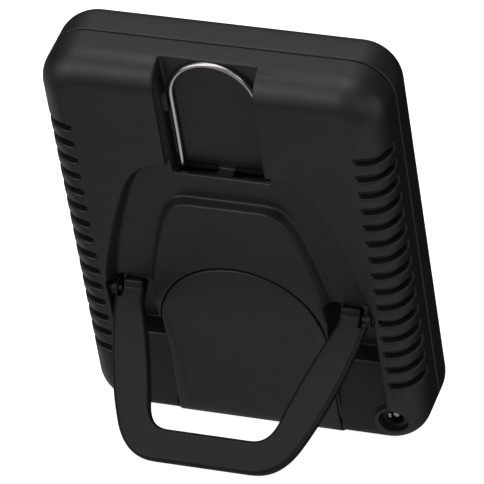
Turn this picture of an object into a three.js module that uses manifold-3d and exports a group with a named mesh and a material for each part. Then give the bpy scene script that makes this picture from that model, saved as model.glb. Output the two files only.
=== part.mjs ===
// Digital photo frame with a fold-out stand, a slide-up hanging wire and a battery compartment.
// Units are millimetres. Every piece is drawn in the case frame: x to the right seen from the screen side,
// y rearward with 0 on the flat of the back, z up along the case with 0 at mid-height.
// The case frame is then leaned back until the lower rear edge and the stand both touch the ground.

import * as THREE from "three";
import { mergeVertices } from "three/addons/utils/BufferGeometryUtils.js";
import Module from "manifold-3d";

const wasm = await Module();
wasm.setup();

// ---------------------------------------------------------------- driving dimensions

const caseWidth = 120;
const caseHeight = 157.8;
const caseDepth = 36.2;
const cornerRadius = 14.4;
const rearFillet = 10.4;
const frontFillet = 11.8;
const seamY = -18.2;
const seamGap = 0.5;
const wall = 2.2;
const frontWall = 3;
const clearance = 0.3;

const halfWidth = caseWidth / 2;
const halfHeight = caseHeight / 2;

const recessDepth = 4.4;
const recessTop = 38.4;
const recessFloorEnd = -17.3;
const recessFootRun = 1.6;
const recessFootRise = 2.6;
const pivotPocketDepth = 14;
const pivotPocketEnd = -44.5;
const knuckleInner = 35.4;
const knuckleOuter = 42.4;
const rampOuter = 47.6;
const podHalfWidth = 31;

const hookPocketCentre = 0.4;
const hookPocketHalfWidth = 17.4;
const hookPocketDepth = 9.5;
const hookPocketBottom = 32.3;
const wireRadius = 0.8;
const wireLegX = 15;
const wireY = -8.2;
const wireArchZ = 63.2;
const wireTravel = 30;
const retainerScrewHeights = [6, 17];

const doorRadius = 29.5;
const doorArchZ = -34.3;
const doorProud = 0.5;
const doorThickness = 2;
const doorGap = 0.35;
const bankInnerX = 25;
const bankTop = { x: 27.2, z: -33.3 };
const bankFall = 0.27;
const bankTaper = 0.06;

const grooveCount = 15;
const grooveTopZ = 50.6;
const groovePitch = 7.12;
const grooveHeight = 3;
const grooveDepth = 1.5;
const grooveInnerX = 49.2;
const grooveFrontY = -11;

const jackX = -49;
const jackZ = -66.6;
const jackOpeningRadius = 5;

const standAngle = THREE.MathUtils.degToRad(116);
const standThickness = 4;
const standLength = 59.3;
const standPivot = { y: -2.7, z: -22 };
const standOffset = 0.5;
const standEdge = 0.9;
const standRoot = 4.2;
const standPinRadius = 1.5;
const pinStart = 43;
const pinEnd = 48.9;

const screenHalfWidth = 43;
const screenHalfHeight = 57;
const panelHalfWidth = 50;
const panelHalfHeight = 63.2;
const panelThickness = 5.7;

const boardY = -21.6;
const boardThickness = 1.6;
const cellRadius = 7.1;
const cellPitch = 15.4;
const keyHeights = [34, 18, 2, -14];
const keyTravel = 0.5;
const keyY = -21.7;
const keyProud = 0.7;
const plungerX = 53.8;

// ---------------------------------------------------------------- materials

function finish(color, roughness, metalness = 0) {
  return new THREE.MeshStandardMaterial({ color, roughness, metalness });
}

const casePlastic = finish(0x1c1c1d, 0.5);
const standPlastic = finish(0x202021, 0.45);
const innerPlastic = finish(0x2b2b2d, 0.6);
const steel = finish(0xc9c6c0, 0.18, 1);
const plateSteel = finish(0xa9abad, 0.4, 1);
const circuitGreen = finish(0x1f5a34, 0.5);
const chipBlack = finish(0x141414, 0.4);
const screenGlass = finish(0x0b0c0e, 0.06);
const foam = finish(0x232323, 0.95);
const cellWrap = finish(0x355a86, 0.35);
const ribbonAmber = finish(0xa66a22, 0.4);
const panelGrey = finish(0x8f9296, 0.4, 0.6);

// ---------------------------------------------------------------- solids and outlines

function solid(geometry) {
  const bare = geometry.index ? geometry.toNonIndexed() : geometry.clone();
  bare.deleteAttribute("normal");
  bare.deleteAttribute("uv");
  const merged = mergeVertices(bare, 1e-4);
  return new wasm.Manifold(new wasm.Mesh({
    numProp: 3,
    vertProperties: merged.attributes.position.array,
    triVerts: Uint32Array.from(merged.index.array),
  }));
}

function geometryOf(body) {
  const mesh = body.getMesh();
  const geometry = new THREE.BufferGeometry();
  geometry.setAttribute("position", new THREE.BufferAttribute(mesh.vertProperties, 3));
  geometry.setIndex(new THREE.BufferAttribute(mesh.triVerts, 1));
  return geometry;
}

function join(...bodies) {
  return bodies.reduce((sum, body) => sum.add(body));
}

// Box between two corners.
function box(x0, x1, y0, y1, z0, z1) {
  const geometry = new THREE.BoxGeometry(x1 - x0, y1 - y0, z1 - z0);
  geometry.translate((x0 + x1) / 2, (y0 + y1) / 2, (z0 + z1) / 2);
  return solid(geometry);
}

// Two boxes, mirrored left and right, between |x| = inner and |x| = outer.
function boxPair(inner, outer, y0, y1, z0, z1) {
  return join(box(inner, outer, y0, y1, z0, z1), box(-outer, -inner, y0, y1, z0, z1));
}

// Outline in the x-z plane, swept between two depths.
function prism(outline, front, rear, options = {}) {
  const shape = outline instanceof THREE.Shape ? outline : new THREE.Shape(outline);
  const geometry = new THREE.ExtrudeGeometry(shape, {
    depth: rear - front,
    bevelEnabled: false,
    curveSegments: 6,
    ...options,
  });
  geometry.rotateX(Math.PI / 2);
  geometry.translate(0, rear, 0);
  return solid(geometry);
}

// Outline in the y-z plane, swept between two x positions.
function slab(outline, x0, x1) {
  const points = outline.map(([y, z]) => new THREE.Vector2(y, z));
  const geometry = new THREE.ExtrudeGeometry(new THREE.Shape(points), {
    depth: x1 - x0,
    bevelEnabled: false,
  });
  const axes = new THREE.Matrix4().makeBasis(
    new THREE.Vector3(0, 1, 0),
    new THREE.Vector3(0, 0, 1),
    new THREE.Vector3(1, 0, 0),
  );
  geometry.applyMatrix4(axes);
  geometry.translate(x0, 0, 0);
  return solid(geometry);
}

function slabPair(outline, inner, outer) {
  return join(slab(outline, inner, outer), slab(outline, -outer, -inner));
}

// Cylinder along y between two depths.
function rodY(x, z, radius, y0, y1, sides = 16) {
  const geometry = new THREE.CylinderGeometry(radius, radius, y1 - y0, sides);
  geometry.translate(x, (y0 + y1) / 2, z);
  return solid(geometry);
}

// Cylinder along x between two positions.
function rodX(y, z, radius, x0, x1, sides = 16) {
  const geometry = new THREE.CylinderGeometry(radius, radius, x1 - x0, sides);
  geometry.rotateZ(Math.PI / 2);
  geometry.translate((x0 + x1) / 2, y, z);
  return solid(geometry);
}

// Cylinder along z between two heights.
function rodZ(x, y, radius, z0, z1, sides = 20) {
  const geometry = new THREE.CylinderGeometry(radius, radius, z1 - z0, sides);
  geometry.rotateX(Math.PI / 2);
  geometry.translate(x, y, (z0 + z1) / 2);
  return solid(geometry);
}

// Large block whose flat face passes through a point, lying on the side a direction looks to.
function blockBeyond(x, y, z, direction) {
  const size = 200;
  const geometry = new THREE.BoxGeometry(size, size, size);
  geometry.translate(0, 0, size / 2);
  const facing = new THREE.Vector3(...direction).normalize();
  geometry.applyQuaternion(new THREE.Quaternion().setFromUnitVectors(new THREE.Vector3(0, 0, 1), facing));
  geometry.translate(x, y, z);
  return solid(geometry);
}

function roundedRectangle(halfX, halfZ, radius, centreX = 0, centreZ = 0) {
  const shape = new THREE.Shape();
  const corners = [[1, 1, 0], [-1, 1, 1], [-1, -1, 2], [1, -1, 3]];
  for (const [sx, sz, quarter] of corners) {
    const x = centreX + sx * (halfX - radius);
    const z = centreZ + sz * (halfZ - radius);
    shape.absarc(x, z, radius, quarter * Math.PI / 2, (quarter + 1) * Math.PI / 2, false);
  }
  shape.closePath();
  return shape;
}

// Closed outline from its right half, which runs from the top of the centre line to its bottom.
function mirrored(path, divisions = 5) {
  const right = path.getPoints(divisions);
  const left = right.filter((point) => point.x > 0.01).map((point) => new THREE.Vector2(-point.x, point.y));
  return [...right, ...left.reverse()];
}

// Outline moved outward by a distance along its mitred corners.
function grown(points, distance) {
  const side = Math.sign(THREE.ShapeUtils.area(points));
  const count = points.length;
  const moved = points.map((point, index) => {
    const before = points[(index + count - 1) % count];
    const after = points[(index + 1) % count];
    const a = point.clone().sub(before).normalize();
    const b = after.clone().sub(point).normalize();
    const miter = new THREE.Vector2(a.y + b.y, -a.x - b.x).multiplyScalar(side);
    const reach = 2 * distance / miter.lengthSq();
    return point.clone().addScaledVector(miter, reach);
  });
  return moved;
}

// Case body with both rims filleted; inset shrinks every outer face.
function casing(inset, fillet, front, rear) {
  const radius = Math.max(fillet - inset, 0.5);
  const shape = roundedRectangle(
    halfWidth - inset - radius,
    halfHeight - inset - radius,
    cornerRadius - inset - radius,
  );
  return prism(shape, front + radius, rear - radius, {
    bevelEnabled: true,
    bevelThickness: radius,
    bevelSize: radius,
    bevelSegments: 5,
    curveSegments: 3,
  });
}

const beyond = 30;

// Rear half of the case as a solid block, its faces moved inward by inset.
function rearBlock(inset) {
  const block = casing(inset, rearFillet, seamY - beyond, -inset);
  return block.intersect(box(-99, 99, seamY, 9, -99, 99));
}

function frontBlock(inset, frontInset) {
  const block = casing(inset, frontFillet, -caseDepth + frontInset, seamY + beyond);
  return block.intersect(box(-99, 99, -99, seamY, -99, 99));
}

// ---------------------------------------------------------------- outlines of the back

function recessOutline() {
  const half = new THREE.Path();
  half.moveTo(0, recessTop);
  half.lineTo(18.5, recessTop);
  half.bezierCurveTo(26.5, recessTop, 32, 33, 35.3, 25);
  half.quadraticCurveTo(42.4, 7, 46.8, -13.2);
  half.lineTo(rampOuter, recessFloorEnd - recessFootRun);
  half.lineTo(0, recessFloorEnd - recessFootRun);
  return mirrored(half);
}

function podOutline() {
  const half = new THREE.Path();
  half.moveTo(0, 22.4);
  half.lineTo(13, 22.4);
  half.bezierCurveTo(17.5, 22.4, 20, 19, 22, 13.5);
  half.quadraticCurveTo(28.6, -6, podHalfWidth, -24);
  half.lineTo(doorRadius + doorGap, doorArchZ);
  half.lineTo(doorRadius + doorGap, -99);
  half.lineTo(0, -99);
  return mirrored(half);
}

function doorOutline(growth) {
  const radius = doorRadius + growth;
  const shape = new THREE.Shape();
  shape.moveTo(-radius, -99);
  shape.lineTo(radius, -99);
  shape.lineTo(radius, doorArchZ);
  shape.absarc(0, doorArchZ, radius, 0, Math.PI, false);
  shape.closePath();
  return shape;
}

// Profile, in y-z, of what is scooped out beside the battery door: a deep pocket for the stand's
// root that climbs to a shallow trough at the lower edge.
function scoopProfile() {
  return [
    [5, recessFloorEnd],
    [-pivotPocketDepth, recessFloorEnd],
    [-pivotPocketDepth, pivotPocketEnd],
    [-6.4, -45.6],
    [-5.2, -47.4],
    [-4.6, -50],
    [-3.8, -55],
    [-2.2, -66],
    [-1.6, -72],
    [-1.6, -99],
    [5, -99],
  ].map(([y, z]) => new THREE.Vector2(y, z));
}

function scoopSpan(growth) {
  const inner = doorRadius + doorGap - growth;
  const top = recessFloorEnd + growth;
  const outer = rampOuter + growth;
  const right = [
    [inner, top], [outer, top], [outer, -60], [outer - 3, -99], [inner, -99],
  ];
  const sides = [1, -1].map((side) => right.map(([x, z]) => new THREE.Vector2(side * x, z)));
  return join(...sides.map((outline) => prism(outline, -beyond, beyond)));
}

function hookPocketOutline(growth) {
  const top = halfHeight + 9;
  const wide = hookPocketHalfWidth + growth;
  const low = hookPocketBottom - growth;
  return rectangle(hookPocketCentre - wide, hookPocketCentre + wide, low, top);
}

// ---------------------------------------------------------------- rear shell

// The recess's outer wall and the pod's wall both end in a sloped foot on the recess floor.
function recessCut(growth, depth) {
  const foot = {
    bevelEnabled: true,
    bevelThickness: recessFootRise,
    bevelSize: recessFootRun,
    bevelSegments: 1,
  };
  const outline = grown(recessOutline(), growth - recessFootRun);
  const podRim = grown(podOutline(), -growth);
  const pod = prism(podRim, -beyond, beyond).add(prism(podRim, -beyond, -depth, foot));
  return prism(outline, -depth + recessFootRise, 9, foot).subtract(pod);
}

function scoopCut(growth) {
  const profile = grown(scoopProfile(), growth).map((point) => [point.x, point.y]);
  const pod = prism(grown(podOutline(), -growth), -beyond, beyond);
  return slab(profile, -60, 60).intersect(scoopSpan(growth)).subtract(pod);
}

function hookPocketCut(growth) {
  return prism(hookPocketOutline(growth), -hookPocketDepth - growth, 9);
}

function grooveCuts() {
  const band = rearBlock(-1).subtract(rearBlock(grooveDepth));
  const half = grooveHeight / 2;
  const outline = [];
  for (let step = 0; step <= 3; step += 1) {
    const angle = Math.PI / 2 + step * Math.PI / 3;
    outline.push([grooveInnerX + half + half * Math.cos(angle), half * Math.sin(angle)]);
  }
  outline.push([halfWidth + 3, -half], [halfWidth + 3, half]);
  const bars = [];
  for (let index = 0; index < grooveCount; index += 1) {
    const z = grooveTopZ - index * groovePitch;
    for (const side of [1, -1]) {
      const points = outline.map(([x, dz]) => new THREE.Vector2(side * x, z + dz));
      bars.push(prism(points, grooveFrontY, 9));
    }
  }
  return join(...bars).intersect(band);
}

// Two windows in the pocket's lower wall, whose outer ends pass the legs of the hanging wire.
function wireOpenings() {
  const front = -hookPocketDepth - 0.5;
  const rear = -hookPocketDepth + 3.2;
  const low = hookPocketBottom - wall - 1;
  const high = hookPocketBottom + 1;
  return boxPair(3, wireLegX + 1.3, front, rear, low, high);
}

function rearShell() {
  const outer = rearBlock(0);
  let shell = outer.subtract(rearBlock(wall));
  const linings = join(
    recessCut(wall, recessDepth + wall),
    scoopCut(wall),
    hookPocketCut(wall),
    rodY(jackX, jackZ, jackOpeningRadius + 1.6, -6.5, 5),
    boxPair(rampOuter, rampOuter + 5, -7, 0, standPivot.z - 4.5, standPivot.z + 4.5),
  );
  shell = shell.add(linings.intersect(outer));

  // Ledge that the battery door lies in, with the bay's opening inside it.
  const doorBed = doorThickness - doorProud + clearance;
  const ledge = prism(doorOutline(doorGap + wall), -16, 9).intersect(rearBlock(doorBed));
  shell = shell.add(ledge.subtract(rearBlock(doorBed + wall)));
  shell = shell.subtract(prism(doorOutline(doorGap), -14.6, 9).subtract(rearBlock(doorBed)));
  const bay = box(-24.4, 24.4, -9, 9, -67, -12).intersect(prism(doorOutline(-2), -beyond, beyond));
  shell = shell.subtract(bay);

  shell = shell.subtract(recessCut(0, recessDepth));
  shell = shell.subtract(scoopCut(0));
  shell = shell.subtract(hookPocketCut(0));
  shell = shell.subtract(wireOpenings());
  shell = shell.subtract(grooveCuts());
  shell = shell.subtract(rodY(jackX, jackZ, jackOpeningRadius, -9, 9, 24));
  shell = shell.subtract(join(
    rodX(standPivot.y, standPivot.z, standPinRadius + clearance, 40, pinEnd + 0.2),
    rodX(standPivot.y, standPivot.z, standPinRadius + clearance, -pinEnd - 0.2, -40),
  ));

  // Snap nubs on the pocket's side walls that keep the wire's legs down.
  const nubRear = wireY + 1.9;
  const nubs = boxPair(16.1, 17.9, -hookPocketDepth - 0.1, nubRear, 57.5, 64.5);
  shell = shell.add(nubs);

  // Tongue that plugs into the front half all round the seam.
  const tongueFront = seamY - 1.2;
  const ring = prism(tongueOutline(1.3), tongueFront, seamY + 1).subtract(prism(tongueOutline(wall), -40, 0));
  shell = shell.add(ring);

  // Screw bosses for the wire's retainer.
  for (const z of retainerScrewHeights) {
    const boss = rodY(0, z, 2.6, -9.2, -wall + 0.2).subtract(rodY(0, z, 1, -9.4, -4));
    shell = shell.add(boss);
  }
  const trim = box(-99, 99, seamY + seamGap / 2 - 6, seamY + seamGap / 2, -99, 99);
  const skin = prism(tongueOutline(-3), -40, 0).subtract(prism(tongueOutline(1.25), -41, 1));
  return shell.subtract(trim.intersect(skin));
}

function tongueOutline(inset) {
  return roundedRectangle(halfWidth - inset, halfHeight - inset, cornerRadius - inset);
}

// ---------------------------------------------------------------- front bezel

const portY = -20.5;
const bracketScrewSpots = [[53.4, 58], [-53.4, 58], [53.4, -48], [-53.4, -48]];

function frontBezel() {
  let shell = frontBlock(0, 0).subtract(frontBlock(wall, frontWall));
  const glassDepth = 1.6;
  const glassSeat = roundedRectangle(screenHalfWidth + 3, screenHalfHeight + 3, 3);
  shell = shell.subtract(prism(glassSeat, -99, -caseDepth + glassDepth));
  shell = shell.subtract(prism(roundedRectangle(screenHalfWidth, screenHalfHeight, 1), -99, -25));

  // Rebate for the rear shell's tongue, and the visible gap of the seam.
  const rebate = prism(tongueOutline(1), seamY - 1.6, 5).subtract(prism(tongueOutline(wall + 1), -99, 9));
  shell = shell.subtract(rebate);
  shell = shell.subtract(box(-99, 99, seamY - seamGap / 2, 9, -99, 99));

  for (const [x, z] of bracketScrewSpots) {
    const boss = rodY(x, z, 2.6, -caseDepth + 2, -26.4).intersect(frontBlock(0.5, 0.5));
    shell = shell.add(boss);
    shell = shell.subtract(rodY(x, z, 1.4, -32.5, -20));
  }
  for (const z of keyHeights) {
    shell = shell.subtract(box(50, 70, keyY - 1.9, keyY + 1.7, z - 4.8, z + 4.8));
  }
  const cardSlot = box(50, 70, portY - 1.3, portY + 0.9, -64.2, -38.8);
  const usbSlot = box(50, 70, portY - 1.4, portY + 1, -33.2, -24.8);
  return shell.subtract(cardSlot).subtract(usbSlot);
}

// ---------------------------------------------------------------- battery compartment

function batteryDoor() {
  const skin = rearBlock(-doorProud).subtract(rearBlock(doorThickness - doorProud));
  const door = skin.intersect(prism(doorOutline(0), -14.2, 9));
  const ribs = boxPair(17, 18.6, -3.3, -1, -56, -22);
  return door.add(ribs).subtract(join(doorBank(1), doorBank(-1)));
}

// Wedge taken off one side edge of the door, which slopes down to the trough and fades out at the arch.
function doorBank(side) {
  const lower = blockBeyond(side * bankInnerX, doorProud, 0, [side * bankFall, 1, 0]);
  const upper = blockBeyond(side * bankTop.x, doorProud, bankTop.z, [side * bankFall, 1, -bankTaper]);
  return lower.intersect(upper);
}

function batteryTray() {
  const outline = new THREE.Shape(rectangle(-25, 25, -68, -10.6));
  let tray = prism(outline, -19.6, -4.6);
  tray = tray.subtract(box(-23.8, 23.8, -18.5, 5, -66.8, -11.8));
  for (const x of [-cellPitch / 2, cellPitch / 2]) {
    tray = tray.add(box(x - 0.35, x + 0.35, -19, -12.5, -66.9, -11.7));
  }
  return tray;
}

function rectangle(x0, x1, z0, z1) {
  return [[x0, z0], [x1, z0], [x1, z1], [x0, z1]].map(([x, z]) => new THREE.Vector2(x, z));
}

const cellY = -18.2 + cellRadius;
const cellXs = [-cellPitch, 0, cellPitch];

function cell(x, flipped) {
  const low = -64.2;
  const body = rodZ(x, cellY, cellRadius, low, low + 49, 24);
  const nubLow = flipped ? low - 1 : low + 48.9;
  return body.add(rodZ(x, cellY, 2.7, nubLow, nubLow + 1.1, 16));
}

function cellSpring(x, flipped) {
  const profile = [[0, 0], [5, 0], [5, 0.6], [2.2, 1.6], [0, 1.6]].map(([r, z]) => new THREE.Vector2(r, z));
  const geometry = new THREE.LatheGeometry(profile, 16);
  geometry.rotateX(flipped ? -Math.PI / 2 : Math.PI / 2);
  geometry.translate(x, cellY, flipped ? -12.4 : -66.3);
  return geometry;
}

function cellContact(x, flipped) {
  const z = flipped ? -66.6 : -12.3;
  return box(x - 5, x + 5, cellY - 5, cellY + 5, z, z + 0.4);
}

// ---------------------------------------------------------------- screen and electronics

const panelFront = -caseDepth + frontWall + 1;
const bracketFront = panelFront + panelThickness + clearance;

function ringPlate(outerX, outerZ, innerX, innerZ, front, rear) {
  const outer = prism(rectangle(-outerX, outerX, -outerZ, outerZ), front, rear);
  return outer.subtract(box(-innerX, innerX, front - 1, rear + 1, -innerZ, innerZ));
}

function lcdBracket() {
  const rear = bracketFront + 1;
  let plate = box(-51, 51, bracketFront, rear, -60, 60);
  for (const [x, z] of [[-25, 28], [25, 28], [-25, -28], [25, -28]]) {
    plate = plate.subtract(box(x - 17, x + 17, bracketFront - 1, rear + 1, z - 20, z + 20));
  }
  for (const [x, z] of bracketScrewSpots) {
    const ear = box(Math.min(x, 0), Math.max(x, 0), bracketFront, rear, z - 3, z + 3);
    plate = plate.add(ear).add(rodY(x, z, 3, bracketFront, rear));
    plate = plate.subtract(rodY(x, z, 1.4, -40, -20));
  }
  for (const [x, z] of boardScrewSpots) {
    const post = rodY(x, z, 2.4, bracketFront, boardY - boardThickness - clearance);
    plate = plate.add(post).subtract(rodY(x, z, 1.3, bracketFront + 0.6, -20));
  }
  return plate;
}

const boardScrewSpots = [[45, 46], [-45, 46], [43, -18], [-45, -46]];

function mainBoard() {
  const plate = prism(roundedRectangle(52, 60.5, 4, 0, -10.5), boardY - boardThickness, boardY);
  const holes = boardScrewSpots.map(([x, z]) => rodY(x, z, 1.3, -40, 0));
  return plate.subtract(join(...holes));
}

function screw(x, z, headFront, shankLength) {
  const head = rodY(x, z, 2.2, headFront, headFront + 1.3);
  const shank = rodY(x, z, 1, headFront - shankLength, headFront + 0.1, 12);
  const slot = box(x - 1.4, x + 1.4, headFront + 0.7, headFront + 3, z - 0.3, z + 0.3);
  return head.add(shank).subtract(slot);
}

function retainerScrew(z) {
  const face = -11.8 - clearance;
  const head = rodY(0, z, 2, face - 1.2, face);
  const shank = rodY(0, z, 0.7, face - 0.1, -6, 12);
  return head.add(shank);
}

function cardSocket() {
  const block = box(27, 54.6, boardY + clearance, boardY + 3, -65.5, -37.5);
  return block.subtract(box(30, 70, boardY + 0.8, boardY + 2.6, -63.9, -39.1));
}

function usbSocket() {
  const block = box(47, 54.6, boardY + clearance, boardY + 2.8, -33, -25);
  return block.subtract(box(49, 70, boardY + 0.7, boardY + 2.4, -32.4, -25.6));
}

function dcJack() {
  const low = boardY + clearance;
  const housing = rodY(jackX, jackZ, 4.7, low, -3.2, 24);
  return housing.subtract(rodY(jackX, jackZ, 3.1, low + 6, 0, 24));
}

function dcJackPin() {
  return rodY(jackX, jackZ, 1, boardY + 6.8, -4.4, 12);
}

function dcJackContact() {
  return box(jackX + 1.6, jackX + 2.6, boardY + 6.8, -3.6, jackZ - 0.9, jackZ + 0.9);
}

// Flat cable that leaves the panel's lower edge and doubles back to the board.
function lcdRibbon() {
  const top = -panelHalfHeight - clearance;
  const outside = [[-27.6, top], [-27.6, top - 3], [-26.2, top - 4.2], [-24.6, top - 3], [-24.6, top + 1]];
  const inside = [[-24.9, top + 1], [-24.9, top - 2.8], [-26.2, top - 3.8], [-27.3, top - 2.8], [-27.3, top]];
  return slab([...outside, ...inside].reverse(), -15, 15);
}

function keySwitch(z) {
  const block = box(49, 53, boardY + clearance, boardY + 3, z - 2.6, z + 2.6);
  const plunger = rodX(keyY, z, 0.9, 52.9, plungerX, 12);
  return block.add(plunger.intersect(box(50, 60, boardY + clearance, 0, -99, 99)));
}

function sideKey(z) {
  const cap = box(56.6, halfWidth + keyProud, keyY - 1.55, keyY + 1.35, z - 4.4, z + 4.4);
  const flange = box(55, 56.7, keyY - 1.9, keyY + 1.7, z - 5.6, z + 5.6);
  const tab = box(plungerX + keyTravel, 55.1, keyY - 1, keyY + 1, z - 1, z + 1);
  return join(cap, flange, tab);
}

// ---------------------------------------------------------------- hanging wire

function hangingWire() {
  const low = hookPocketBottom - wall - wireTravel - 1.6;
  const bend = 1.8;
  const foot = 4;
  const route = new THREE.CurvePath();
  const at = (x, z) => new THREE.Vector3(x, 0, z);
  const line = (a, b) => route.add(new THREE.LineCurve3(a, b));
  const turn = (a, middle, b) => route.add(new THREE.QuadraticBezierCurve3(a, middle, b));
  line(at(-wireLegX + foot, low), at(-wireLegX + bend, low));
  turn(at(-wireLegX + bend, low), at(-wireLegX, low), at(-wireLegX, low + bend));
  line(at(-wireLegX, low + bend), at(-wireLegX, wireArchZ));
  const quarter = wireLegX * 0.5523;
  const top = wireArchZ + wireLegX;
  route.add(new THREE.CubicBezierCurve3(
    at(-wireLegX, wireArchZ), at(-wireLegX, wireArchZ + quarter), at(-quarter, top), at(0, top)));
  route.add(new THREE.CubicBezierCurve3(
    at(0, top), at(quarter, top), at(wireLegX, wireArchZ + quarter), at(wireLegX, wireArchZ)));
  line(at(wireLegX, wireArchZ), at(wireLegX, low + bend));
  turn(at(wireLegX, low + bend), at(wireLegX, low), at(wireLegX - bend, low));
  line(at(wireLegX - bend, low), at(wireLegX - foot, low));

  const section = new THREE.Shape();
  section.absarc(0, 0, wireRadius, 0, 2 * Math.PI, false);
  const geometry = new THREE.ExtrudeGeometry(section, {
    steps: 60,
    curveSegments: 4,
    bevelEnabled: false,
    extrudePath: route,
  });
  geometry.translate(0, wireY, 0);
  return solid(geometry);
}

// Plate inside the case with two channels that guide the wire's legs.
function hookRetainer() {
  const plate = box(-19, 19, -11.8, -9.5, 1, 28);
  const ribs = boxPair(wireLegX + 1.3, wireLegX + 3, -9.6, -7, 1, 28);
  const holes = join(...retainerScrewHeights.map((z) => rodY(0, z, 1.2, -13, -8)));
  return plate.add(ribs).subtract(holes);
}

// ---------------------------------------------------------------- stand

// Drawn folded against the back, in its own frame: x as the case, y rearward and z up from the pivot.
function standPlate() {
  const half = new THREE.Path();
  half.moveTo(0, standLength);
  half.lineTo(17, standLength);
  half.bezierCurveTo(25, standLength, 29.4, 54.8, 32.5, 48.3);
  half.quadraticCurveTo(40.8, 29.8, 44.6, 4.8);
  half.lineTo(45.9, -2);
  half.lineTo(45.9, -standRoot);
  half.lineTo(35, -standRoot);
  half.lineTo(34.5, 3.8);
  half.quadraticCurveTo(27.5, 20.8, 22.8, 40.8);
  half.bezierCurveTo(21.4, 45.4, 19, 47.8, 14.5, 47.8);
  half.lineTo(0, 47.8);
  const outline = grown(mirrored(half), -standEdge);
  const depth = standThickness - 2 * standEdge;
  const front = standOffset - standThickness / 2 + standEdge;
  return prism(outline, front, front + depth, {
    bevelEnabled: true,
    bevelThickness: standEdge,
    bevelSize: standEdge,
    bevelSegments: 2,
  });
}

function stand() {
  let bail = standPlate();
  // Raised knuckle across each root, whose sloped face shows above the arm when the stand is out.
  const knuckle = [[0, 0.3], [0, -standRoot], [-1.1, -standRoot], [-2.2, -3.5], [-3.3, -1.8], [-1.5, 0.3]];
  bail = bail.add(slabPair(knuckle, knuckleInner, knuckleOuter));
  // A slot frees a springy prong at the outside of each root, and a pin passes through the prong.
  bail = bail.subtract(boxPair(42.4, 44.1, -9, 9, -9, 3.4));
  bail = bail.add(join(
    rodX(0, 0, 2.4, 44.1, 46.6, 20),
    rodX(0, 0, 2.4, -46.6, -44.1, 20),
  ));
  const hole = standPinRadius + clearance;
  return bail.subtract(join(rodX(0, 0, hole, pinStart - 0.6, 60), rodX(0, 0, hole, -60, 0.6 - pinStart)));
}

function standPin(side) {
  const [start, end] = side > 0 ? [pinStart, pinEnd] : [-pinEnd, -pinStart];
  return rodX(0, 0, standPinRadius, start, end);
}

// ---------------------------------------------------------------- assembly

const root = new THREE.Group();
const caseFrame = new THREE.Group();
const standFrame = new THREE.Group();
root.add(caseFrame);
caseFrame.add(standFrame);
standFrame.position.set(0, standPivot.y, standPivot.z);
standFrame.rotation.x = -standAngle;

function addPiece(name, shape, material, frame = caseFrame) {
  const geometry = shape instanceof THREE.BufferGeometry ? shape : geometryOf(shape);
  const mesh = new THREE.Mesh(geometry, material);
  mesh.name = name;
  frame.add(mesh);
}

addPiece("rear_shell", rearShell(), casePlastic);
addPiece("front_bezel", frontBezel(), casePlastic);
addPiece("battery_door", batteryDoor(), casePlastic);
addPiece("battery_tray", batteryTray(), innerPlastic);
cellXs.forEach((x, index) => {
  const flipped = index % 2 === 1;
  addPiece(`aa_cell_${index + 1}`, cell(x, flipped), cellWrap);
  addPiece(`cell_spring_${index + 1}`, cellSpring(x, flipped), steel);
  addPiece(`cell_contact_${index + 1}`, cellContact(x, flipped), plateSteel);
});

const glassFront = -caseDepth + 0.15;
const glassPlate = roundedRectangle(screenHalfWidth + 2.7, screenHalfHeight + 2.7, 2.8);
addPiece("screen_window", prism(glassPlate, glassFront, glassFront + 1.2), screenGlass);
const gasketFront = -caseDepth + frontWall + 0.2;
addPiece("lcd_gasket", ringPlate(48.5, 61, 44, 58, gasketFront, gasketFront + 0.6), foam);
const panel = box(-panelHalfWidth, panelHalfWidth, panelFront, panelFront + panelThickness,
  -panelHalfHeight, panelHalfHeight);
addPiece("lcd_panel", panel, panelGrey);
addPiece("lcd_bracket", lcdBracket(), plateSteel);
addPiece("lcd_ribbon", lcdRibbon(), ribbonAmber);
bracketScrewSpots.forEach(([x, z], index) => {
  addPiece(`bracket_screw_${index + 1}`, screw(x, z, bracketFront + 1 + clearance, 6), steel);
});

addPiece("main_board", mainBoard(), circuitGreen);
boardScrewSpots.forEach(([x, z], index) => {
  addPiece(`board_screw_${index + 1}`, screw(x, z, boardY + clearance, 3.2), steel);
});
addPiece("processor_chip", box(-10, 10, boardY + clearance, boardY + 1.8, 14, 34), chipBlack);
addPiece("memory_chip", box(20, 31, boardY + clearance, boardY + 1.5, 14, 32), chipBlack);
addPiece("card_socket", cardSocket(), plateSteel);
addPiece("usb_socket", usbSocket(), plateSteel);
addPiece("dc_jack", dcJack(), chipBlack);
addPiece("dc_jack_pin", dcJackPin(), steel);
addPiece("dc_jack_contact", dcJackContact(), steel);
keyHeights.forEach((z, index) => {
  addPiece(`key_switch_${index + 1}`, keySwitch(z), chipBlack);
});
const keyNames = ["power_key", "up_key", "down_key", "menu_key"];
keyNames.forEach((name, index) => addPiece(name, sideKey(keyHeights[index]), standPlastic));

addPiece("hanging_wire", hangingWire(), steel);
addPiece("hook_retainer", hookRetainer(), innerPlastic);
retainerScrewHeights.forEach((z, index) => {
  addPiece(`retainer_screw_${index + 1}`, retainerScrew(z), steel);
});
addPiece("stand", stand(), standPlastic, standFrame);
addPiece("stand_pin_left", standPin(1), standPlastic, standFrame);
addPiece("stand_pin_right", standPin(-1), standPlastic, standFrame);

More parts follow.
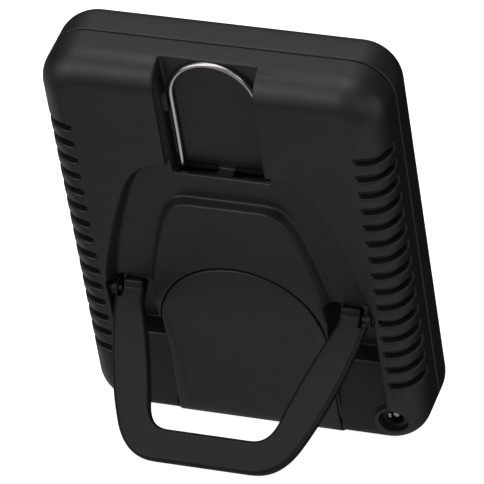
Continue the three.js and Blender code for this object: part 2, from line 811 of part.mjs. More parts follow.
// Lean that rests the door's rounded lower edge and the stand's crossbar on one level plane.
const lowerEdge = { y: -rearFillet, z: -halfHeight + rearFillet, radius: rearFillet + doorProud };
const barReach = standLength - standEdge;
const barSide = standOffset + standThickness / 2 - standEdge;
const bar = {
  y: standPivot.y + barReach * Math.sin(standAngle) + barSide * Math.cos(standAngle),
  z: standPivot.z + barReach * Math.cos(standAngle) - barSide * Math.sin(standAngle),
  radius: standEdge,
};
const span = Math.hypot(bar.y - lowerEdge.y, bar.z - lowerEdge.z);
const slope = Math.atan2(bar.z - lowerEdge.z, bar.y - lowerEdge.y);
const lean = slope + Math.asin((lowerEdge.radius - bar.radius) / span);
caseFrame.rotation.x = -lean;

// The origin is the middle of the footprint, at ground level.
root.updateMatrixWorld(true);
const bounds = new THREE.Box3().setFromObject(caseFrame, true);
const centre = bounds.getCenter(new THREE.Vector3());
caseFrame.position.set(-centre.x, -centre.y, -bounds.min.z);

export default root;
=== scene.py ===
"""Looks of a digital photo frame seen from behind: black moulded case, fold-out stand, hanging wire.

The moulded pieces are drawn as distance fields in the case frame, in millimetres, and turned into meshes.
Case frame: x to the right seen from the screen side, y rearward with 0 on the flat of the back,
z up along the case with 0 at mid-height. The row frame is that frame leaned back and lifted.
"""

import math

import bpy
import numpy as np
from mathutils import Matrix, Vector


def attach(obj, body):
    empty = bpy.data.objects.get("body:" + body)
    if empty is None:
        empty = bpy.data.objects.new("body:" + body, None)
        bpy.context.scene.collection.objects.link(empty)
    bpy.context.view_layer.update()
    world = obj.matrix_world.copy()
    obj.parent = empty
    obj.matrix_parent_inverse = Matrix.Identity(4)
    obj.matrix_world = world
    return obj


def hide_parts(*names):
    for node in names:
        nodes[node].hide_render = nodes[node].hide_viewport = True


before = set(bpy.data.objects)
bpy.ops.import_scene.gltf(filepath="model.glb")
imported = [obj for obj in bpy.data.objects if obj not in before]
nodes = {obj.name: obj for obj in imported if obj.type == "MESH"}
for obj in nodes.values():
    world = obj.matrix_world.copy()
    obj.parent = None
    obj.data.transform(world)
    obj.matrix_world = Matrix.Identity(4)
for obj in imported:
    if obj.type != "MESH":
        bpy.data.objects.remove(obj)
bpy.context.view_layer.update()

# ------------------------------------------------------------------ sizes, in millimetres

LEAN = math.radians(27.3085)
CASE_AT = (-0.35, 15.8316, 66.9848)

HALF_WIDTH, HALF_HEIGHT, DEPTH = 60.0, 78.9, 36.2
CORNER, REAR_FILLET, FRONT_FILLET = 14.4, 10.4, 11.8
SEAM_Y, SEAM_GAP = -18.2, 0.5
WALL = 2.2

RECESS_DEPTH, RECESS_TOP, RECESS_END = 4.4, 38.4, -17.3
RECESS_DRAFT, RECESS_FOOT = 0.55, 0.7
PIVOT_POCKET_DEPTH, PIVOT_POCKET_END = 14.0, -44.5
RAMP_OUTER = 47.6
HOOK_CENTRE, HOOK_HALF, HOOK_DEPTH, HOOK_LOW = 0.4, 17.4, 9.5, 32.3
DOOR_RADIUS, DOOR_ARCH_Z, DOOR_PROUD, DOOR_GAP = 29.5, -34.3, 0.5, 0.35
BANK_X, BANK_TOP_X, BANK_TOP_Z, BANK_FALL, BANK_TAPER = 25.0, 27.2, -33.3, 0.36, 0.06
GROOVES, GROOVE_TOP, GROOVE_PITCH = 15, 50.6, 7.12
GROOVE_INNER, GROOVE_FRONT, GROOVE_DEPTH, GROOVE_HALF = 49.2, -11.0, 3.0, 1.5
JACK_X, JACK_Z, JACK_RADIUS = -49.0, -66.6, 5.0
WIRE_X, WIRE_Y, WIRE_RADIUS, WIRE_ARCH_Z, WIRE_LOW = 15.0, -8.2, 0.88, 63.2, -1.5
WIRE_BEND, WIRE_FOOT = 1.8, 4.0
NUB_X, NUB_HALF, NUB_LOW, NUB_HIGH = 17.0, 0.9, 57.5, 64.5
BAY_HALF, BAY_LOW, BAY_HIGH = 24.4, -67, -12

STAND_ANGLE = math.radians(116)
PIVOT_Y, PIVOT_Z = -2.7, -22.0
STAND_THICK, STAND_LENGTH, STAND_OFFSET, STAND_EDGE, STAND_ROOT = 4.0, 59.3, 0.5, 1.5, 4.2
KNUCKLE_INNER, SLOT_INNER, SLOT_OUTER, SLOT_END = 35.4, 42.4, 44.1, 3.4
BOSS_RADIUS, BOSS_OUTER, BORE_RADIUS, BORE_INNER, BORE_OUTER = 2.4, 46.6, 1.8, 40, 49.1

KEY_HEIGHTS = (34, 18, 2, -14)
KEY_Y, PORT_Y = -21.7, -20.5
SCREEN_X, SCREEN_Z = 43.0, 57.0


def to_row(points):
    """Case frame in millimetres to row frame in metres."""
    x, y, z = np.asarray(points, float).T
    c, s = math.cos(LEAN), math.sin(LEAN)
    ox, oy, oz = CASE_AT
    return np.stack([x + ox, y * c + z * s + oy, z * c - y * s + oz], axis=1) * 0.001


def stand_to_case(points):
    x, y, z = np.asarray(points, float).T
    c, s = math.cos(STAND_ANGLE), math.sin(STAND_ANGLE)
    return np.stack([x, y * c + z * s + PIVOT_Y, z * c - y * s + PIVOT_Z], axis=1)


# ------------------------------------------------------------------ distance fields


class Grid:
    """Sample points of a box, in millimetres."""

    def __init__(self, low, high, step):
        self.low = np.array(low, np.float32)
        self.step = step
        axes = [np.arange(a, b + step, step, dtype=np.float32) for a, b in zip(low, high)]
        self.x, self.y, self.z = np.meshgrid(*axes, indexing="ij", sparse=True)


def both(a, b, radius=0.0):
    """Where both shapes are, with their shared outer edge rounded."""
    if radius <= 0:
        return np.maximum(a, b)
    u = np.maximum(a + radius, 0)
    v = np.maximum(b + radius, 0)
    return np.minimum(np.maximum(a, b), -radius) + np.sqrt(u * u + v * v)


def without(a, cut, radius=0.0):
    return both(a, -cut, radius)


def slab(value, low, high):
    return np.maximum(low - value, value - high)


def outline(points, a, b):
    """Signed distance to a closed outline, negative inside."""
    a, b = np.broadcast_arrays(a, b)
    nearest = np.full(a.shape, 1e9, np.float32)
    inside = np.zeros(a.shape, bool)
    for (pa, pb), (qa, qb) in zip(points, points[1:] + points[:1]):
        ea, eb = qa - pa, qb - pb
        length = ea * ea + eb * eb
        if length < 1e-9:
            continue
        wa, wb = a - pa, b - pb
        t = np.clip((wa * ea + wb * eb) / length, 0, 1)
        nearest = np.minimum(nearest, (wa - ea * t) ** 2 + (wb - eb * t) ** 2)
        above, below = b >= pb, b < qb
        left = ea * wb > eb * wa
        inside ^= (above & below & left) | ~(above | below | left)
    distance = np.sqrt(nearest)
    return np.where(inside, -distance, distance).astype(np.float32)


def rounded_rectangle(a, b, half_a, half_b, radius):
    qa = np.abs(a) - (half_a - radius)
    qb = np.abs(b) - (half_b - radius)
    outside = np.hypot(np.maximum(qa, 0), np.maximum(qb, 0))
    return outside + np.minimum(np.maximum(qa, qb), 0) - radius


def curve(*controls, steps=10):
    """Points of a Bezier curve of any order, without its first point."""
    found = []
    for step in range(1, steps + 1):
        t = step / steps
        row = [np.array(p, float) for p in controls]
        while len(row) > 1:
            row = [p * (1 - t) + q * t for p, q in zip(row, row[1:])]
        found.append(tuple(row[0]))
    return found


def mirror(half):
    """Closed outline from its right half, listed from the top of the centre line to its bottom."""
    return half + [(-x, z) for x, z in reversed(half) if x > 0.01]


# ------------------------------------------------------------------ from field to mesh


def sample(field, at):
    """Field value at fractional grid positions."""
    size = np.array(field.shape) - 1
    at = np.clip(at, 0, size - 1e-3)
    base = at.astype(np.int32)
    part = (at - base).astype(np.float32)
    total = np.zeros(len(at), np.float32)
    for i in (0, 1):
        for j in (0, 1):
            for k in (0, 1):
                weight = np.abs(1 - i - part[:, 0]) * np.abs(1 - j - part[:, 1]) * np.abs(1 - k - part[:, 2])
                total += weight * field[base[:, 0] + i, base[:, 1] + j, base[:, 2] + k]
    return total


def gradient(field, at, reach=0.8):
    rows = []
    for axis in range(3):
        offset = np.zeros(3)
        offset[axis] = reach
        rows.append(sample(field, at + offset) - sample(field, at - offset))
    normal = np.stack(rows, axis=1)
    return normal / np.maximum(np.linalg.norm(normal, axis=1, keepdims=True), 1e-9)


def surface_nets(field):
    """Vertices, in grid units, and quads of the surface where the field is zero."""
    inside = field < 0
    size = np.array(field.shape) - 1
    corners = [(i, j, k) for i in (0, 1) for j in (0, 1) for k in (0, 1)]
    count = np.zeros(size, np.uint8)
    for i, j, k in corners:
        count += inside[i:i + size[0], j:j + size[1], k:k + size[2]]
    cells = np.argwhere((count > 0) & (count < 8))
    number = np.full(size, -1, np.int32)
    number[tuple(cells.T)] = np.arange(len(cells), dtype=np.int32)

    total = np.zeros((len(cells), 3), np.float32)
    hits = np.zeros(len(cells), np.float32)
    for start in corners:
        for axis in range(3):
            if start[axis]:
                continue
            end = list(start)
            end[axis] = 1
            a = field[tuple((cells + start).T)]
            b = field[tuple((cells + end).T)]
            crosses = (a < 0) != (b < 0)
            t = np.where(crosses, a / np.where(crosses, a - b, 1), 0)
            point = np.tile(np.array(start, np.float32), (len(cells), 1))
            point[:, axis] = t
            total += point * crosses[:, None]
            hits += crosses
    vertices = cells + total / hits[:, None]

    quads = []
    for axis in range(3):
        near = [slice(None)] * 3
        far = [slice(None)] * 3
        near[axis], far[axis] = slice(0, -1), slice(1, None)
        first, second = inside[tuple(near)], inside[tuple(far)]
        at = np.argwhere(first != second)
        u, v = np.eye(3, dtype=int)[(axis + 1) % 3], np.eye(3, dtype=int)[(axis + 2) % 3]
        ring = np.stack([number[tuple((at - d).T)] for d in (u + v, v, 0 * u, u)], axis=1)
        outward = first[tuple(at.T)]
        quads.append(np.where(outward[:, None], ring, ring[:, ::-1]))
    return vertices, np.concatenate(quads)


def mesh_of(name, vertices, quads):
    mesh = bpy.data.meshes.new(name)
    mesh.vertices.add(len(vertices))
    mesh.vertices.foreach_set("co", np.asarray(vertices, np.float32).ravel())
    mesh.loops.add(quads.size)
    mesh.loops.foreach_set("vertex_index", quads.astype(np.int32).ravel())
    mesh.polygons.add(len(quads))
    mesh.polygons.foreach_set("loop_start", np.arange(0, quads.size, 4, dtype=np.int32))
    mesh.update(calc_edges=True)
    mesh.validate()
    return mesh


def moulded(name, field, grid, body, material, stands_for, placed=to_row, keep=0.3):
    """A piece whose surface is where the field is zero, thinned where it is flat."""
    field = np.ascontiguousarray(field, dtype=np.float32)
    vertices, quads = surface_nets(field)
    piece = bpy.data.objects.new(name, mesh_of(name, vertices, quads))
    bpy.context.scene.collection.objects.link(piece)
    thin = piece.modifiers.new("thin", "DECIMATE")
    thin.ratio = keep
    graph = bpy.context.evaluated_depsgraph_get()
    thinned = bpy.data.meshes.new_from_object(piece.evaluated_get(graph))
    piece.modifiers.clear()
    piece.data = thinned
    at = np.zeros(len(thinned.vertices) * 3, np.float32)
    thinned.vertices.foreach_get("co", at)
    at = at.reshape(-1, 3)
    normals = gradient(field, at)
    points = grid.low + at * grid.step
    there = placed(points)
    tips = placed(points + normals)
    normals = (tips - there) * 1000
    thinned.vertices.foreach_set("co", there.astype(np.float32).ravel())
    thinned.update()
    thinned.shade_smooth()
    thinned.normals_split_custom_set_from_vertices(normals.tolist())
    finish_piece(piece, body, material, stands_for)
    return piece


def finish_piece(piece, body, material, stands_for):
    piece.data.materials.clear()
    piece.data.materials.append(material)
    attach(piece, body)
    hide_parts(*stands_for)
    return piece


# ------------------------------------------------------------------ outlines of the back


def recess_outline():
    half = [(0, RECESS_TOP), (18.5, RECESS_TOP)]
    half += curve((18.5, RECESS_TOP), (26.5, RECESS_TOP), (32, 33), (35.3, 25))
    half += curve((35.3, 25), (42.4, 7), (46.8, -13.2))
    below = RECESS_END - 3
    half += [(RAMP_OUTER, below), (0, below)]
    return mirror(half)


def pod_outline():
    half = [(0, 22.4), (13, 22.4)]
    half += curve((13, 22.4), (17.5, 22.4), (20, 19), (22, 13.5))
    half += curve((22, 13.5), (28.6, -6), (31, -24))
    half += [(DOOR_RADIUS + DOOR_GAP, DOOR_ARCH_Z), (DOOR_RADIUS + DOOR_GAP, -99), (0, -99)]
    return mirror(half)


def sideways(distance):
    """How far an outline's edge faces left or right, from 0 to 1, at each sample of its distance."""
    across, _, along = np.gradient(np.repeat(distance, 2, axis=1))
    part = across ** 2 / np.maximum(across ** 2 + along ** 2, 1e-9)
    return part[:, :1, :]


def door_distance(x, z):
    round_part = np.hypot(x, z - DOOR_ARCH_Z) - DOOR_RADIUS
    straight = np.abs(x) - DOOR_RADIUS + 0 * z
    return np.where(z > DOOR_ARCH_Z, round_part, straight)


SCOOP_PROFILE = [
    (5, RECESS_END),
    (-PIVOT_POCKET_DEPTH, RECESS_END),
    (-PIVOT_POCKET_DEPTH, PIVOT_POCKET_END),
    *curve((-7.8, -45.2), (-6.2, -49.5), (-3.8, -60), (-0.7, -76), steps=14),
    (0.4, -83),
    (5, -83),
]


def case_rear(g):
    flat = rounded_rectangle(g.x, g.z, HALF_WIDTH, HALF_HEIGHT, CORNER)
    return both(flat, g.y, REAR_FILLET)


def case_front(g):
    flat = rounded_rectangle(g.x, g.z, HALF_WIDTH, HALF_HEIGHT, CORNER)
    return both(flat, -DEPTH - g.y, FRONT_FILLET)


def grooves(g, outer):
    """Deep grip grooves across both rear fillets."""
    found = None
    for index in range(GROOVES):
        middle = GROOVE_TOP - index * GROOVE_PITCH
        up = g.z - middle
        end = GROOVE_INNER + GROOVE_HALF
        across = np.hypot(np.minimum(np.abs(g.x) - end, 0), up) - GROOVE_HALF
        bar = both(across, -outer - GROOVE_DEPTH, 0.35)
        found = bar if found is None else np.minimum(found, bar)
    return both(found, GROOVE_FRONT - g.y, 0.4)


# ------------------------------------------------------------------ materials


def node_material(name):
    material = bpy.data.materials.new(name)
    material.use_nodes = True
    tree = material.node_tree
    return material, tree, tree.nodes["Principled BSDF"]


def noise(tree, scale, detail=3.0, roughness=0.5):
    node = tree.nodes.new("ShaderNodeTexNoise")
    node.inputs["Scale"].default_value = scale
    node.inputs["Detail"].default_value = detail
    node.inputs["Roughness"].default_value = roughness
    tree.links.new(coordinates(tree), node.inputs["Vector"])
    return node.outputs["Fac"]


def coordinates(tree):
    for node in tree.nodes:
        if node.type == "TEX_COORD":
            return node.outputs["Object"]
    return tree.nodes.new("ShaderNodeTexCoord").outputs["Object"]


def ramp(tree, value, low, high, low_at=0.3, high_at=0.7):
    node = tree.nodes.new("ShaderNodeValToRGB")
    node.color_ramp.elements[0].position = low_at
    node.color_ramp.elements[1].position = high_at
    node.color_ramp.elements[0].color = (*low, 1)
    node.color_ramp.elements[1].color = (*high, 1)
    tree.links.new(value, node.inputs["Fac"])
    return node.outputs["Color"]


def span(tree, value, low, high):
    node = tree.nodes.new("ShaderNodeMapRange")
    node.inputs["From Min"].default_value = 0.3
    node.inputs["From Max"].default_value = 0.7
    node.inputs["To Min"].default_value = low
    node.inputs["To Max"].default_value = high
    tree.links.new(value, node.inputs["Value"])
    return node.outputs["Result"]


def bump(tree, shader, value, strength, distance):
    node = tree.nodes.new("ShaderNodeBump")
    node.inputs["Strength"].default_value = strength
    node.inputs["Distance"].default_value = distance
    tree.links.new(value, node.inputs["Height"])
    tree.links.new(node.outputs["Normal"], shader.inputs["Normal"])


def plastic(name, dark, light, rough_low, rough_high, grain=0.0004, depth=0.00002, gloss=0.5):
    """Moulded plastic: faint colour drift, fine spark texture, patchy sheen."""
    material, tree, shader = node_material(name)
    shader.inputs["Specular IOR Level"].default_value = gloss
    drift = noise(tree, 38, 4)
    tree.links.new(ramp(tree, drift, dark, light), shader.inputs["Base Color"])
    patches = noise(tree, 160, 5, 0.6)
    tree.links.new(span(tree, patches, rough_low, rough_high), shader.inputs["Roughness"])
    texture = noise(tree, 1 / grain, 2, 0.6)
    bump(tree, shader, texture, 0.35, depth)
    return material


def metal(name, dark, light, rough_low, rough_high, scale=900):
    material, tree, shader = node_material(name)
    shader.inputs["Metallic"].default_value = 1.0
    grain = noise(tree, scale, 4)
    tree.links.new(ramp(tree, grain, dark, light), shader.inputs["Base Color"])
    tree.links.new(span(tree, grain, rough_low, rough_high), shader.inputs["Roughness"])
    return material


def grey(value, warm=0.0):
    return (value * (1 + warm), value, value * (1 - warm))


case_black = plastic("case_black", grey(0.016, 0.01), grey(0.018, 0.01), 0.34, 0.44)
stand_black = plastic(
    "stand_black", grey(0.0095), grey(0.0105), 0.36, 0.44, grain=0.0005, depth=0.00001, gloss=0.27)
inner_black = plastic("inner_black", grey(0.02), grey(0.028), 0.5, 0.65)
bright_wire = metal("bright_wire", grey(0.62, 0.02), grey(0.78, 0.03), 0.16, 0.26)
sheet_steel = metal("sheet_steel", grey(0.42), grey(0.55), 0.3, 0.45)
pin_steel = metal("pin_steel", grey(0.5), grey(0.62), 0.22, 0.34)
board_green = plastic("board_green", (0.012, 0.07, 0.03), (0.02, 0.1, 0.045), 0.3, 0.4)
chip_black = plastic("chip_black", grey(0.012), grey(0.018), 0.4, 0.5)
foam_black = plastic("foam_black", grey(0.015), grey(0.03), 0.9, 0.98, grain=0.0012, depth=0.0002)
cell_blue = plastic("cell_blue", (0.03, 0.09, 0.22), (0.04, 0.11, 0.26), 0.25, 0.35)
ribbon_amber = plastic("ribbon_amber", (0.3, 0.12, 0.02), (0.38, 0.16, 0.03), 0.3, 0.4)
panel_dark = plastic("panel_dark", grey(0.006), grey(0.009), 0.25, 0.32)


def glass_material():
    material, tree, shader = node_material("screen_glass")
    smears = noise(tree, 25, 5, 0.6)
    tree.links.new(ramp(tree, smears, grey(0.004), grey(0.006)), shader.inputs["Base Color"])
    tree.links.new(span(tree, smears, 0.03, 0.09), shader.inputs["Roughness"])
    shader.inputs["Coat Weight"].default_value = 0.5
    shader.inputs["Coat Roughness"].default_value = 0.03
    return material


screen_glass = glass_material()

# ------------------------------------------------------------------ rear shell


def rear_shell():
    g = Grid((-61.2, SEAM_Y - 0.6, -80.1), (61.2, 1.3, 80.1), 0.45)
    outer = case_rear(g)
    pod = outline(pod_outline(), g.x, g.z)

    rim = outline(recess_outline(), g.x, g.z)
    draft = RECESS_DRAFT * np.clip(-g.y, 0, RECESS_DEPTH)
    recess = both(rim + draft * sideways(rim), -RECESS_DEPTH - g.y, RECESS_FOOT)
    recess = both(recess, draft * sideways(pod) - pod, RECESS_FOOT)

    profile = outline(SCOOP_PROFILE, g.y, g.z)
    inner, top = DOOR_RADIUS + DOOR_GAP, RECESS_END
    side = outline(
        [(inner, top), (RAMP_OUTER, top), (RAMP_OUTER, -60), (RAMP_OUTER - 3, -99), (inner, -99)],
        np.abs(g.x), g.z)
    scoop = both(both(profile, side, 1.2), -pod, 0.5)

    side = np.abs(g.x - HOOK_CENTRE) - HOOK_HALF - 0.04 * g.y
    pocket = both(both(side, HOOK_LOW - g.z, 0.5), -HOOK_DEPTH - g.y, 0.6)

    body = without(outer, recess, 0.7)
    body = without(body, scoop, 0.7)
    body = without(body, pocket, 0.5)
    ridges = grooves(g, outer)
    body = without(body, ridges, 0.35)

    bed_depth = 2 - DOOR_PROUD + 0.3
    bed = both(door_distance(g.x, g.z) - DOOR_GAP, -outer - bed_depth)
    body = without(body, bed, 0.3)

    shell = np.maximum(body, -(body + WALL))
    jack = np.hypot(g.x - JACK_X, g.z - JACK_Z)
    tube = both(both(jack - JACK_RADIUS - 1.6, -6.5 - g.y), outer)
    shell = np.minimum(shell, tube)
    shell = without(shell, np.maximum(jack - JACK_RADIUS, -9 - g.y), 0.5)

    low, high = HOOK_LOW - WALL - 1, HOOK_LOW + 1
    windows = np.maximum(slab(np.abs(g.x), 3, WIRE_X + 1.3), slab(g.z, low, high))
    windows = np.maximum(windows, slab(g.y, -HOOK_DEPTH - 0.5, -HOOK_DEPTH + 3.2))
    shell = without(shell, windows, 0.25)

    bay = np.maximum(np.abs(g.x) - BAY_HALF, np.maximum(slab(g.z, BAY_LOW, BAY_HIGH), slab(g.y, -9, 9)))
    shell = without(shell, np.maximum(bay, door_distance(g.x, g.z) + 2), 0.2)

    nubs = np.maximum(np.abs(np.abs(g.x) - NUB_X) - NUB_HALF, slab(g.z, NUB_LOW, NUB_HIGH))
    nubs = both(nubs, slab(g.y, -HOOK_DEPTH - 0.3, WIRE_Y + 1.9), 0.4)
    shell = np.minimum(shell, nubs)

    pivot = np.hypot(g.y - PIVOT_Y, g.z - PIVOT_Z) - BORE_RADIUS
    shell = without(shell, np.maximum(pivot, slab(np.abs(g.x), BORE_INNER, BORE_OUTER)), 0.2)
    shell = both(shell, SEAM_Y + SEAM_GAP / 2 - g.y, 0.35)
    return moulded("rear_shell_skin", shell, g, "case", case_black, ["rear_shell"], keep=0.2)


def front_bezel():
    g = Grid((-61.2, -DEPTH - 1, -80.1), (61.2, SEAM_Y + 0.6, 80.1), 0.5)
    outer = case_front(g)
    hollow = both(outer + WALL, 3 - DEPTH - g.y)
    shell = without(outer, hollow)
    seat = rounded_rectangle(g.x, g.z, SCREEN_X + 3, SCREEN_Z + 3, 3)
    shell = without(shell, np.maximum(seat, g.y + DEPTH - 1.6), 0.3)
    window = rounded_rectangle(g.x, g.z, SCREEN_X, SCREEN_Z, 1)
    shell = without(shell, np.maximum(window, slab(g.y, -60, -25)))
    side = 50 - g.x
    for height in KEY_HEIGHTS:
        slot = rounded_rectangle(g.y - KEY_Y + 0.1, g.z - height, 1.8, 4.8, 0.6)
        shell = without(shell, np.maximum(slot, side), 0.25)
    card = rounded_rectangle(g.y - PORT_Y + 0.2, g.z + 51.5, 1.1, 12.7, 0.3)
    usb = rounded_rectangle(g.y - PORT_Y + 0.2, g.z + 29, 1.2, 4.2, 0.4)
    shell = without(shell, np.maximum(np.minimum(card, usb), side), 0.2)
    shell = both(shell, g.y - SEAM_Y + SEAM_GAP / 2, 0.35)
    tongue = rounded_rectangle(g.x, g.z, HALF_WIDTH - 1.3, HALF_HEIGHT - 1.3, CORNER - 1.3)
    tongue = np.maximum(np.maximum(tongue, -tongue - 0.9), slab(g.y, SEAM_Y - 0.6, SEAM_Y + 0.4))
    shell = np.minimum(shell, tongue)
    return moulded("front_bezel_skin", shell, g, "case", case_black, ["front_bezel"], keep=0.22)


def battery_door():
    g = Grid((-30.6, -15, -80.4), (30.6, 1.6, -3.4), 0.4)
    outer = case_rear(g)
    skin = both(outer - DOOR_PROUD, -(outer + 2 - DOOR_PROUD))
    door = both(skin, door_distance(g.x, g.z), 0.35)
    door = both(door, -14.2 - g.y, 0.35)
    lower = BANK_FALL * (np.abs(g.x) - BANK_X) + g.y - DOOR_PROUD
    upper = BANK_FALL * (np.abs(g.x) - BANK_TOP_X) + g.y - DOOR_PROUD - BANK_TAPER * (g.z - BANK_TOP_Z)
    door = both(door, np.minimum(lower, upper), 0.5)
    ribs = np.maximum(slab(np.abs(g.x), 17, 18.6), np.maximum(slab(g.y, -3.3, -1), slab(g.z, -56, -22)))
    door = np.minimum(door, ribs)
    return moulded("battery_door_skin", door, g, "battery_door", case_black, ["battery_door"])


def stand():
    half = [(0, STAND_LENGTH), (17, STAND_LENGTH)]
    half += curve((17, STAND_LENGTH), (25, STAND_LENGTH), (29.4, 54.8), (32.5, 48.3))
    half += curve((32.5, 48.3), (40.8, 29.8), (44.6, 4.8))
    half += [(45.9, -2), (45.9, -STAND_ROOT), (35, -STAND_ROOT), (34.5, 3.8)]
    half += curve((34.5, 3.8), (27.5, 20.8), (22.8, 40.8))
    half += curve((22.8, 40.8), (21.4, 45.4), (19, 47.8), (14.5, 47.8))
    half += [(0, 47.8)]
    g = Grid((-47.6, -4.4, -6), (47.6, 4, 60.4), 0.4)
    plate = outline(mirror(half), g.x, g.z)
    bail = both(plate, np.abs(g.y - STAND_OFFSET) - STAND_THICK / 2, STAND_EDGE)
    knuckle = [(-1.5, 0.3), (-3.3, -1.8), (-2.2, -3.5), (-1.1, -STAND_ROOT), (0, -STAND_ROOT), (0, 0.3)]
    knuckle = both(outline(knuckle, g.y, g.z), slab(np.abs(g.x), KNUCKLE_INNER, SLOT_INNER), 0.3)
    bail = np.minimum(bail, knuckle)
    slot = np.maximum(slab(np.abs(g.x), SLOT_INNER, SLOT_OUTER), g.z - SLOT_END)
    bail = without(bail, slot, 0.3)
    boss = both(np.hypot(g.y, g.z) - BOSS_RADIUS, slab(np.abs(g.x), SLOT_OUTER, BOSS_OUTER), 0.4)
    bail = np.minimum(bail, boss)
    bore = np.maximum(np.hypot(g.y, g.z) - BORE_RADIUS, SLOT_INNER - np.abs(g.x))
    bail = without(bail, bore, 0.2)
    return moulded(
        "stand_skin", bail, g, "stand", stand_black, ["stand"],
        placed=lambda p: to_row(stand_to_case(p)), keep=0.4)


# ------------------------------------------------------------------ hanging wire


def swept(name, path, radius, body, material, stands_for, sides=20):
    """Round tube along a path that lies in a plane of constant y."""
    path = np.array(path, float)
    ahead = np.gradient(path, axis=0)
    ahead /= np.linalg.norm(ahead, axis=1, keepdims=True)
    depth = np.array([0.0, 1.0, 0.0])
    across = np.cross(ahead, depth)
    turns = np.linspace(0, 2 * math.pi, sides, endpoint=False)
    rings = []
    for point, outward in zip(path, across):
        rings += [point + radius * (math.cos(turn) * outward + math.sin(turn) * depth) for turn in turns]
    faces = []
    for ring in range(len(path) - 1):
        for side in range(sides):
            after = (side + 1) % sides
            faces.append((ring * sides + side, ring * sides + after,
                          (ring + 1) * sides + after, (ring + 1) * sides + side))
    faces.append(tuple(range(sides - 1, -1, -1)))
    faces.append(tuple((len(path) - 1) * sides + side for side in range(sides)))
    mesh = bpy.data.meshes.new(name)
    mesh.from_pydata(to_row(rings).tolist(), [], faces)
    mesh.validate()
    mesh.shade_smooth()
    piece = bpy.data.objects.new(name, mesh)
    bpy.context.scene.collection.objects.link(piece)
    return finish_piece(piece, body, material, stands_for)


def hanging_wire():
    bend, low, turn = WIRE_BEND, WIRE_LOW, WIRE_X - WIRE_BEND
    right = [(WIRE_X - WIRE_FOOT, low), (turn - 0.4, low)]
    for angle in np.linspace(0, math.pi / 2, 8):
        right.append((turn + bend * math.sin(angle), low + bend - bend * math.cos(angle)))
    right += [(WIRE_X, z) for z in np.linspace(low + bend + 1, WIRE_ARCH_Z, 16)]
    arch = []
    for angle in np.linspace(0, math.pi, 49)[1:-1]:
        arch.append((WIRE_X * math.cos(angle), WIRE_ARCH_Z + WIRE_X * math.sin(angle)))
    left = [(-x, z) for x, z in reversed(right)]
    path = [(x, WIRE_Y, z) for x, z in right + arch + left]
    return swept("hanging_wire_bend", path, WIRE_RADIUS, "hanging_wire", bright_wire, ["hanging_wire"])


rear_shell()
front_bezel()
battery_door()
stand()
hanging_wire()

# ------------------------------------------------------------------ CAD pieces that stay

FINISHES = {
    "battery_tray": inner_black,
    "hook_retainer": inner_black,
    "aa_cell": cell_blue,
    "cell_spring": pin_steel,
    "cell_contact": sheet_steel,
    "screen_window": screen_glass,
    "lcd_gasket": foam_black,
    "lcd_panel": panel_dark,
    "lcd_bracket": sheet_steel,
    "lcd_ribbon": ribbon_amber,
    "bracket_screw": pin_steel,
    "board_screw": pin_steel,
    "retainer_screw": pin_steel,
    "main_board": board_green,
    "processor_chip": chip_black,
    "memory_chip": chip_black,
    "card_socket": sheet_steel,
    "usb_socket": sheet_steel,
    "dc_jack_pin": pin_steel,
    "dc_jack_contact": pin_steel,
    "dc_jack": chip_black,
    "key_switch": chip_black,
    "power_key": stand_black,
    "up_key": stand_black,
    "down_key": stand_black,
    "menu_key": stand_black,
    "stand_pin": stand_black,
}
ROUNDED = {
    "power_key": 0.4,
    "up_key": 0.4,
    "down_key": 0.4,
    "menu_key": 0.4,
    "dc_jack": 0.3,
    "screen_window": 0.15,
}


def finish_of(name):
    """Material of the first kind of part whose name this node's name is or begins with."""
    kind = next(kind for kind in FINISHES if name == kind or name.startswith(kind + "_"))
    return FINISHES[kind]


for name, node in nodes.items():
    if node.hide_render:
        continue
    node.data.materials.clear()
    node.data.materials.append(finish_of(name))
    if name in ROUNDED:
        edge = node.modifiers.new("edge", "BEVEL")
        edge.width = ROUNDED[name] * 0.001
        edge.segments = 3
        edge.limit_method = "ANGLE"

# ------------------------------------------------------------------ floor, light and camera


def floor():
    size = 6.0
    corners = [(-size, -size, 0), (size, -size, 0), (size, size, 0), (-size, size, 0)]
    mesh = bpy.data.meshes.new("floor")
    mesh.from_pydata(corners, [], [(0, 1, 2, 3)])
    piece = bpy.data.objects.new("floor", mesh)
    bpy.context.scene.collection.objects.link(piece)
    material, tree, shader = node_material("floor_paper")
    mottled = noise(tree, 3, 2)
    tree.links.new(ramp(tree, mottled, grey(0.86), grey(0.88)), shader.inputs["Base Color"])
    shader.inputs["Roughness"].default_value = 0.9
    shader.inputs["Specular IOR Level"].default_value = 0.0
    shader.inputs["Emission Color"].default_value = (1, 1, 1, 1)
    shader.inputs["Emission Strength"].default_value = 0.95
    mesh.materials.append(material)
    piece.visible_glossy = False
    piece.visible_diffuse = False


# Soft light from the surroundings: direction it comes from, its strength there, how narrow it is.
GLOWS = [
    ((0.10, 0.35, -0.93), 0.50, 10),
    ((0.00, -0.50, -0.87), 0.20, 10),
    ((0.75, -0.40, -0.53), 0.50, 10),
    ((-0.60, 0.15, -0.80), 0.50, 10),
    ((0.60, 0.78, 0.12), 1.70, 10),
    ((-0.60, 0.78, 0.12), 0.70, 10),
    ((0.25, 0.80, 0.55), 0.25, 10),
    ((0.34, 0.88, 0.32), 1.3, 45),
    ((0.10, 0.25, 0.96), 2.2, 10),
    ((0.20, -0.55, 0.81), 0.55, 10),
    ((-0.98, 0.05, 0.10), 0.95, 10),
]


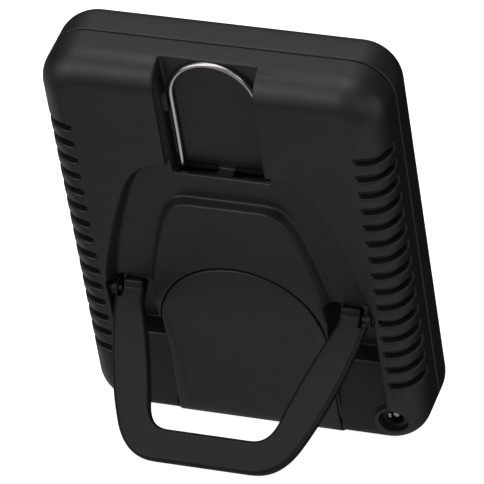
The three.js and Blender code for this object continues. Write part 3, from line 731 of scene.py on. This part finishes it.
def glow(tree, toward, direction, strength, focus):
    """Strength of one soft glow along the direction looked in."""
    facing = tree.nodes.new("ShaderNodeVectorMath")
    facing.operation = "DOT_PRODUCT"
    tree.links.new(direction, facing.inputs[0])
    facing.inputs[1].default_value = Vector(toward).normalized()
    steps = [("MAXIMUM", 0.0), ("POWER", focus), ("MULTIPLY", strength)]
    value = facing.outputs["Value"]
    for operation, number in steps:
        node = tree.nodes.new("ShaderNodeMath")
        node.operation = operation
        tree.links.new(value, node.inputs[0])
        node.inputs[1].default_value = number
        value = node.outputs["Value"]
    return value


def studio():
    world = bpy.data.worlds.new("studio")
    bpy.context.scene.world = world
    world.use_nodes = True
    tree = world.node_tree
    background = tree.nodes["Background"]
    background.inputs["Color"].default_value = (1, 1, 1, 1)
    place = tree.nodes.new("ShaderNodeTexCoord")
    total = None
    for toward, strength, focus in GLOWS:
        value = glow(tree, toward, place.outputs["Generated"], strength, focus)
        if total is not None:
            join = tree.nodes.new("ShaderNodeMath")
            tree.links.new(total, join.inputs[0])
            tree.links.new(value, join.inputs[1])
            value = join.outputs["Value"]
        total = value
    tree.links.new(total, background.inputs["Strength"])


CAMERA_AT = Vector((-0.58579, 1.65609, 0.56514))
CAMERA_AIM = Vector((-0.00307, 0.01309, 0.07291))
CAMERA_ROLL = math.radians(1.852)
CAMERA_LENS, SENSOR_WIDTH = 404.18, 36


def camera():
    """Long lens behind the frame, above it and to one side, rolled by a degree or two."""
    ahead = (CAMERA_AIM - CAMERA_AT).normalized()
    right = ahead.cross(Vector((0, 0, 1))).normalized()
    up = right.cross(ahead)
    turned = right * math.cos(CAMERA_ROLL) + up * math.sin(CAMERA_ROLL)
    upward = turned.cross(ahead)
    data = bpy.data.cameras.new("camera")
    data.sensor_width = SENSOR_WIDTH
    data.lens = CAMERA_LENS
    view = bpy.data.objects.new("camera", data)
    bpy.context.scene.collection.objects.link(view)
    axes = Matrix((turned, upward, -ahead)).transposed().to_4x4()
    view.matrix_world = Matrix.Translation(CAMERA_AT) @ axes
    data.clip_start, data.clip_end = 0.05, 50
    bpy.context.scene.camera = view


floor()
studio()
camera()
bpy.context.scene.view_settings.view_transform = "Standard"
